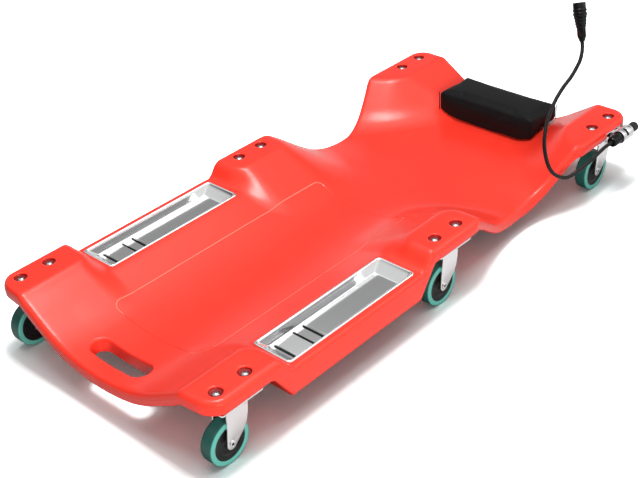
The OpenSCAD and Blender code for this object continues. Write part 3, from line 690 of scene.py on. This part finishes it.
def rest_place(s_here, t_here, shrink):
    u, v = 2 * s_here - 1, 2 * t_here - 1
    half_x = REST_WIDE / 2 - 0.8 * (v + 1) - REST_DRAW * (1 - v * v) - shrink
    half_y = REST_LONG / 2 - REST_DRAW * (1 - u * u) - shrink
    x, y = u * half_x, REST_Y + v * half_y
    gap_x, gap_y = half_x - np.abs(x), half_y - np.abs(y - REST_Y)
    rounded = (gap_x < REST_CORNER_R) & (gap_y < REST_CORNER_R)
    corner = REST_CORNER_R - np.hypot(REST_CORNER_R - gap_x, REST_CORNER_R - gap_y)
    gap = np.maximum(np.where(rounded, corner, np.minimum(gap_x, gap_y)), 0)
    bulge = (np.maximum(np.sin(np.pi * s_here), 0) ** 0.6
             * np.maximum(np.sin(np.pi * t_here), 0) ** 0.6)
    high = REST_TOP + 2 * bulge - round_drop(gap, 4) - shrink
    seat = top_height(x, y) + 0.9 * smooth((np.abs(x) - 24) / 10) + round_drop(gap, 3) + shrink
    return x, y, high, seat


def rest_block(name, shrink):
    block, column, row, depth = skirted_grid(name, len(across_steps) - 1,
                                             len(along_steps) - 1, 5)
    x, y, high, seat = rest_place(across_steps[column], along_steps[row], shrink)
    move_to(block, np.stack((x, y, high + (seat - high) * depth), 1))
    face_outwards()
    return block


# The stuffed block is blown up a little as cloth, and then held to its seat, its
# size and the plywood below, so that only its crown and soft sides move.
LAST_FRAME, MOST_MM, PLY_TOP, SIDE_ROOM = 20, 2.2, 84, 0.6
cushion = rest_block("headrest_block", 1.4)
remesh = cushion.modifiers.new("even", "REMESH")
remesh.mode, remesh.voxel_size = "VOXEL", 0.0045
bpy.ops.object.modifier_apply(modifier="even")
start = spots_of(cushion) * 1000
cloth = cushion.modifiers.new("stuffing", "CLOTH")
cloth.settings.use_pressure = True
cloth.settings.uniform_pressure_force = 4.0
cloth.settings.effector_weights.gravity = 0.0
cloth.settings.quality = 6
scene = bpy.context.scene
scene.frame_start, scene.frame_end = 1, LAST_FRAME
cloth.point_cache.frame_start, cloth.point_cache.frame_end = 1, LAST_FRAME
for step in range(1, LAST_FRAME + 1):
    scene.frame_set(step)
bpy.ops.object.modifier_apply(modifier="stuffing")
scene.frame_set(1)
move = spots_of(cushion) * 1000 - start
reach = np.linalg.norm(move, axis=1)
move *= np.minimum(1, MOST_MM / np.maximum(reach, 1e-6))[:, None]
move[:, 2] *= np.where(start[:, 2] < PLY_TOP, 0.0, 1.0)
move *= smooth((start[:, 2] - 70) / 12)[:, None]
spot = start + move
limit_x, limit_y = REST_WIDE / 2 + SIDE_ROOM, REST_LONG / 2
spot[:, 0] = np.clip(spot[:, 0], -limit_x, limit_x)
spot[:, 1] = np.clip(spot[:, 1], REST_Y - limit_y - SIDE_ROOM, REST_Y + limit_y + SIDE_ROOM)
spot[:, 2] = np.maximum(spot[:, 2], top_height(spot[:, 0], spot[:, 1]) + 0.3)
move_to(cushion, spot)
smoother = cushion.modifiers.new("skin", "SUBSURF")
smoother.levels = smoother.render_levels = 1
bpy.ops.object.modifier_apply(modifier="skin")
pick(cushion)
bpy.ops.object.shade_smooth_by_angle(angle=math.radians(50))
vinyl = cloudy_paint("black_vinyl", (0.006, 0.006, 0.0063), (0.009, 0.009, 0.0094),
                     (0.4, 0.5), cloud=30, grain=1500, bump=0.35, deep=0.0004, specular=0.07)
dress(cushion, vinyl, "board", "headrest_cushion")

# Corner seams: a thin welt of the same vinyl stands along each of the block's four
# upright corners, with both ends tucked in.
welts = []
for u_side, v_side in ((-1, -1), (1, -1), (1, 1), (-1, 1)):
    corner = rest_place(np.array([(1 + u_side) / 2]), np.array([(1 + v_side) / 2]), 0.0)
    x, y, high, seat = (float(measure[0]) for measure in corner)
    top_end, low_end = high + 3.6, seat - 2.4
    px, py = x - u_side * 1.6, y - v_side * 1.6
    welts.append(loop_skin("corner_seam", [
        circle_loop(radius, up_here, px, py, 12) for radius, up_here in
        ((0.3, low_end), (0.75, low_end + 0.8), (0.75, top_end - 3.4), (0.3, top_end - 2.6))]))
seam = joined(welts)
bpy.ops.object.shade_smooth_by_angle(angle=math.radians(60))
paint(seam, vinyl)
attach(seam, "board")

# Plywood base and zinc-plated screws and nuts: they stay as drawn, and only need
# their finish, the plies' edges and a bright grey.
ply, tree, shader = plain_material("bare_plywood", {"Roughness": 0.62})
layers = add_node(tree, "TexWave", "Fac", {
    "Vector": add_node(tree, "TexCoord", "Object"), "Scale": 110.0, "Distortion": 1.6},
    bands_direction="Z")
wire(tree, shader, {"Base Color": mix(tree, layers, (0.5, 0.35, 0.2, 1), (0.36, 0.23, 0.12, 1))})
paint(nodes["headrest_board"], ply)
zinc = cloudy_paint("bright_zinc", (0.93, 0.935, 0.94), (0.87, 0.875, 0.885), (0.22, 0.3),
                    cloud=45, grain=1400, bump=0.06, deep=0.0001, metal=1.0)
for node_name in ("headrest_screws", "pad_nuts", "clip_screw"):
    paint(nodes[node_name], zinc)


# Screws through the pads: twelve steel button heads, each turned with a domed top,
# with a hexagon socket pressed in.
SCREW_SPOKES = 36


def hex_loop(flat_r, z_here, px, py):
    points = []
    for i in range(SCREW_SPOKES):
        angle = math.tau * i / SCREW_SPOKES
        reach = flat_r / math.cos((angle % (math.pi / 3)) - math.pi / 6)
        points.append((px + reach * math.cos(angle), py + reach * math.sin(angle), z_here))
    return points


def dome(r_here):
    return 110.3 + math.sqrt(7.6 ** 2 - r_here ** 2)


shank = [(3, 87.6), (3, 115.5), (5.0, 115.5)] + [(r, dome(r)) for r in (5.25, 4.9, 4.3, 3.7, 3.1)]
socket = [(2.25, dome(2.6)), (2.15, dome(2.6) - 0.3), (2.1, 116.4)]
screws = []
for px, py in SCREWS:
    loops = [circle_loop(radius, up_here, px, py, SCREW_SPOKES) for radius, up_here in shank]
    loops += [hex_loop(radius, up_here, px, py) for radius, up_here in socket]
    screws.append(loop_skin("button_screw", loops))
screws = joined(screws)
bpy.ops.object.shade_smooth_by_angle(angle=math.radians(32))
screw_steel = cloudy_paint("screw_steel", (0.5, 0.5, 0.51), (0.42, 0.42, 0.43), (0.16, 0.24),
                           cloud=90, grain=1400, bump=0.05, deep=0.0001, metal=1.0)
dress(screws, screw_steel, "board", "pad_screws")

# Casters: pressed zinc top plate and fork, a hollow rivet for an axle, a black
# moulded wheel centre and a teal rubber tread. The turned parts are made once and
# copied; the pressed ones are the drawn solids with their edges softened.
MERGE = 0.000002


def softened(node_name, width_mm, segments=2):
    piece = nodes[node_name].copy()
    piece.data = nodes[node_name].data.copy()
    piece.name = node_name + "_edged"
    bpy.context.scene.collection.objects.link(piece)
    pick(piece)
    bpy.ops.object.mode_set(mode="EDIT")
    bpy.ops.mesh.select_all(action="SELECT")
    bpy.ops.mesh.remove_doubles(threshold=MERGE)
    bpy.ops.object.mode_set(mode="OBJECT")
    edge = piece.modifiers.new("edge", "BEVEL")
    edge.width, edge.segments = width_mm * 0.001, segments
    edge.limit_method, edge.angle_limit = "ANGLE", math.radians(28)
    edge.use_clamp_overlap = True
    bpy.ops.object.modifier_apply(modifier="edge")
    bpy.ops.object.shade_smooth_by_angle(angle=math.radians(30))
    return piece


# Turned about the X axis from one half of a profile, radius and distance from the
# middle, which is mirrored to the other side.
def turned(name, half, spokes):
    profile = [(-along, radius) for radius, along in half]
    profile += [(along, radius) for radius, along in reversed(half)]
    pick()
    bpy.ops.mesh.primitive_circle_add(vertices=len(profile), radius=1, fill_type="NOTHING")
    piece = bpy.context.object
    piece.name = name
    for vertex, (along, radius) in zip(piece.data.vertices, profile):
        vertex.co = Vector((along, radius, 0)) * 0.001
    bpy.ops.object.mode_set(mode="EDIT")
    bpy.ops.mesh.select_all(action="SELECT")
    bpy.ops.mesh.spin(steps=spokes, angle=math.tau, center=(0, 0, 0), axis=(1, 0, 0))
    bpy.ops.mesh.select_all(action="SELECT")
    bpy.ops.mesh.remove_doubles(threshold=MERGE)
    bpy.ops.object.mode_set(mode="OBJECT")
    face_outwards()
    bpy.ops.object.shade_smooth_by_angle(angle=math.radians(35))
    return piece


rubber, tree, shader = plain_material("teal_rubber", {"Specular IOR Level": 0.45})
mottle = noise(tree, 55.0, 5.0)
# Painted light and shade: the rolling face takes a dark teal as shade, the side rings a light
# teal as lit faces.
teal = mix(tree, mottle, (0.014, 0.078, 0.064, 1), (0.02, 0.1, 0.083, 1))
wire(tree, shader, {
    "Base Color": mix(tree, marked(tree, "lit_side_ring"), teal, (0.1, 0.36, 0.3, 1)),
    "Roughness": spread(tree, mottle, 0.34, 0.55),
    "Normal": relief(tree, noise(tree, 1300.0), 0.25, 0.0003)})
hub_black = cloudy_paint("black_hub", (0.006, 0.006, 0.0065), (0.01, 0.01, 0.0105),
                         (0.28, 0.38), cloud=40, grain=1200, bump=0.2, deep=0.0003,
                         specular=0.35)

first_tyre = turned("tread_ring", [
    (27.0, 10.3), (27.5, 10.9), (28.3, 11.0), (30.4, 11.0), (32.2, 10.95), (33.3, 10.6),
    (34.2, 9.9), (34.75, 8.9), (35.0, 7.6), (35.0, 4.0)], 120)
first_rivet = turned("hollow_rivet", [
    (0.4, 8.5), (1.95, 8.5), (1.98, 15.5), (2.35, 15.85), (3.0, 15.9), (4.4, 15.9),
    (4.85, 15.7), (5.0, 15.2), (5.0, 14.55), (3.02, 14.5)], 48)
first_hub = turned("wheel_centre", [
    (3.06, 11.7), (6.0, 11.7), (6.5, 11.4), (7.0, 10.0), (7.7, 8.3), (8.7, 7.2), (9.8, 6.8),
    (11.5, 6.6), (17.8, 6.25), (19.6, 6.3), (20.5, 6.9), (21.2, 8.2), (21.8, 9.1),
    (22.6, 9.3), (24.2, 9.3), (24.6, 9.8), (26.3, 9.95), (27.0, 9.6)], 96)
# Painted shade: the inside of the rivet's bore is painted near black.
mark(first_rivet, "painted_shade", [1.0 if math.hypot(v.co.y, v.co.z) * 1000 < 1.99 else 0.0
                           for v in first_rivet.data.vertices])
# Painted light: the side rings of the tread are marked for the lighter, lit teal.
mark(first_tyre, "lit_side_ring", [float(smooth((abs(v.co.x) * 1000 - 9.5) / 0.6))
                           for v in first_tyre.data.vertices])
TRAIL, WHEEL_R = 21.0, 35.0
masters = ((first_tyre, "wheel_", "tyre_", rubber, "tread"),
           (first_hub, "wheel_", "hub_", hub_black, "hub_plastic"),
           (first_rivet, "caster_", "axle_", steel, "zinc"))
for row_name, pad_y in PAD_ROWS.items():
    for side_name, side in (("left", -1), ("right", 1)):
        name = row_name + "_" + side_name
        hub_place = Vector((side * SCREW_X, pad_y - TRAIL, WHEEL_R)) * 0.001
        for master, body, node_name, finish, slot_name in masters:
            twin = master.copy()
            twin.data = master.data.copy()
            twin.name = node_name + name + "_turned"
            bpy.context.scene.collection.objects.link(twin)
            twin.data.transform(Matrix.Translation(hub_place))
            dress(twin, finish, body + name, node_name + name)
        dress(softened("fork_" + name, 0.45, 3), zinc, "caster_" + name, "fork_" + name)
        dress(softened("plate_" + name, 0.4), zinc, "board", "plate_" + name)
for master, *_ in masters:
    bpy.data.objects.remove(master)

# Clip-on lamp: a chromed clip screwed to the board's edge holds a black barrel
# with a ribbed collar, a rubber tail button, a sleeved gooseneck and a small head.
chrome = cloudy_paint("chromed_clip", (0.9, 0.9, 0.91), (0.82, 0.82, 0.84), (0.06, 0.14),
                      cloud=70, grain=900, bump=0.05, deep=0.0002, metal=1.0)
gloss_black = cloudy_paint("gloss_black", (0.004, 0.004, 0.0045), (0.007, 0.007, 0.0075),
                           (0.07, 0.12), cloud=60, grain=1500, bump=0.04, deep=0.0001,
                           specular=0.22)
dress(softened("lamp_clip", 0.3), chrome, "board", "lamp_clip")
for node_name, edge_mm, segments in (("lamp_barrel", 0.35, 2), ("lamp_collar", 0.35, 3),
                                     ("lamp_head", 0.3, 2), ("lamp_bezel", 0.35, 3)):
    dress(softened(node_name, edge_mm, segments), gloss_black, "lamp", node_name)

# Tail button: moulded rubber with twenty-four flutes, its stem in the end of the
# barrel. The loops go from the stem out over the fluted side to the dished end.
LAMP_X, LAMP_Z, FLUTES, PER_FLUTE = 248.7, 102.4, 24, 6


def fluted_loop(radius, y_here, depth):
    points = []
    for i in range(FLUTES * PER_FLUTE):
        angle = math.tau * i / (FLUTES * PER_FLUTE)
        reach = radius - depth * (0.5 + 0.5 * math.cos(FLUTES * angle))
        points.append((LAMP_X + reach * math.cos(angle), y_here,
                       LAMP_Z + reach * math.sin(angle)))
    return points


tail = loop_skin("fluted_tail_button", [fluted_loop(*measures) for measures in (
    (5, 479.7, 0), (5, 482.3, 0), (7.7, 482.3, 0), (8.3, 482.8, 0.1), (8.5, 483.6, 0.45),
    (8.5, 494.4, 0.45), (8.2, 495.5, 0.3), (7.6, 496.1, 0), (6.6, 496.3, 0), (6.2, 495.9, 0))])
bpy.ops.object.shade_smooth_by_angle(angle=math.radians(35))
soft_black = cloudy_paint("soft_rubber", (0.006, 0.006, 0.0065), (0.01, 0.01, 0.0105),
                          (0.42, 0.55), cloud=60, grain=1600, bump=0.3, deep=0.0003,
                          specular=0.3)
dress(tail, soft_black, "lamp_button", "tail_button")

# Gooseneck: a wound steel hose in a thin black sleeve, so its turns show as fine
# ribs. It keeps the bend it was left in: a smooth curve through these places.
neck_route = np.array([
    (248.7, 425.2, 102.4), (248.7, 419, 102.4), (248.8, 411, 102.7), (249, 398, 102.7),
    (249.4, 380, 101), (249.6, 355, 97.4), (249, 322, 95), (248, 297, 94.6),
    (246.8, 279, 98.6), (244.6, 253, 116), (242.4, 238, 136), (239.4, 230, 162),
    (236.2, 230.4, 184), (232.2, 240.5, 207), (229.2, 255.5, 224), (226.4, 274, 236.8),
    (223.2, 298, 246.4), (220.6, 325, 254.3), (219.3, 342.9, 264.5), (218.2, 353.7, 273.4),
    (215.8, 361.4, 285.7), (212.5, 365.4, 297.1)])
padded_route = np.vstack((neck_route[:1], neck_route, neck_route[-1:]))
curve = []
for i in range(len(neck_route) - 1):
    a, b, c, d = padded_route[i:i + 4]
    for t in np.arange(0, 1, 0.05):
        curve.append(0.5 * (2 * b + (c - a) * t + (2 * a - 5 * b + 4 * c - d) * t * t
                            + (3 * b - a - 3 * c + d) * t ** 3))
curve = np.array(curve + [neck_route[-1]])
walked = np.concatenate(([0], np.cumsum(np.linalg.norm(np.diff(curve, axis=0), axis=1))))
TURN_PITCH, TURN_LOOPS, NECK_R, NECK_SPOKES = 1.7, 4, 3.2, 16
TURN_DROP = (0.32, 0.04, 0.0, 0.04)
count = int(walked[-1] / TURN_PITCH) * TURN_LOOPS
marks = np.linspace(0, walked[-1], count + 1)
middle = np.stack([np.interp(marks, walked, curve[:, k]) for k in range(3)], 1)
heading = np.gradient(middle, axis=0)
heading /= np.linalg.norm(heading, axis=1)[:, None]
first = np.cross(heading, (1, 0, 0))
first /= np.linalg.norm(first, axis=1)[:, None]
second = np.cross(heading, first)
pick()
bpy.ops.mesh.primitive_grid_add(x_subdivisions=NECK_SPOKES, y_subdivisions=count, size=2)
neck = bpy.context.object
neck.name = "sleeved_gooseneck"
for vertex in neck.data.vertices:
    ring = round((vertex.co.y + 1) / 2 * count)
    angle = (vertex.co.x + 1) * math.pi
    reach = NECK_R - TURN_DROP[ring % TURN_LOOPS]
    outward = math.cos(angle) * first[ring] + math.sin(angle) * second[ring]
    vertex.co = Vector(middle[ring] + reach * outward) * 0.001
bpy.ops.object.mode_set(mode="EDIT")
bpy.ops.mesh.select_all(action="SELECT")
bpy.ops.mesh.remove_doubles(threshold=MERGE)
bpy.ops.mesh.fill_holes(sides=0)
bpy.ops.object.mode_set(mode="OBJECT")
face_outwards()
bpy.ops.object.shade_smooth_by_angle(angle=math.radians(50))
sleeve = cloudy_paint("neck_sleeve", (0.006, 0.006, 0.0065), (0.01, 0.01, 0.0105),
                      (0.16, 0.24), cloud=90, grain=1200, bump=0.05, deep=0.0001,
                      specular=0.2)
dress(neck, sleeve, "lamp", "gooseneck")

# Inside the lamp: the cell in its two-tone sleeve, the polished cup, the light
# source and its lens. They stay as drawn and only need their finish.
CELL_BAND_Y = 0.466
cell_paint, tree, shader = plain_material("cell_sleeve", {"Roughness": 0.3, "Metallic": 0.6})
along = add_node(tree, "SeparateXYZ", "Y", {"Vector": add_node(tree, "TexCoord", "Object")})
wire(tree, shader, {"Base Color": mix(
    tree, calculate(tree, "GREATER_THAN", along, CELL_BAND_Y),
    (0.02, 0.02, 0.022, 1), (0.55, 0.38, 0.12, 1))})
cup = cloudy_paint("polished_cup", (0.9, 0.9, 0.91), (0.85, 0.85, 0.87), (0.03, 0.08),
                   cloud=200, grain=2000, bump=0.05, deep=0.0001, metal=1.0)
led_paint = cloudy_paint("light_source", (0.85, 0.75, 0.3), (0.75, 0.65, 0.2), (0.25, 0.4),
                         cloud=900, grain=2500, bump=0.2, deep=0.0001)
lens_paint = plain_material("clear_lens", {
    "Base Color": (0.95, 0.97, 0.98, 1), "Roughness": 0.04, "IOR": 1.49,
    "Transmission Weight": 0.9})[0]
for node_name, finish in (("lamp_battery", cell_paint), ("lamp_reflector", cup),
                          ("lamp_led", led_paint), ("lamp_lens", lens_paint)):
    paint(nodes[node_name], finish)
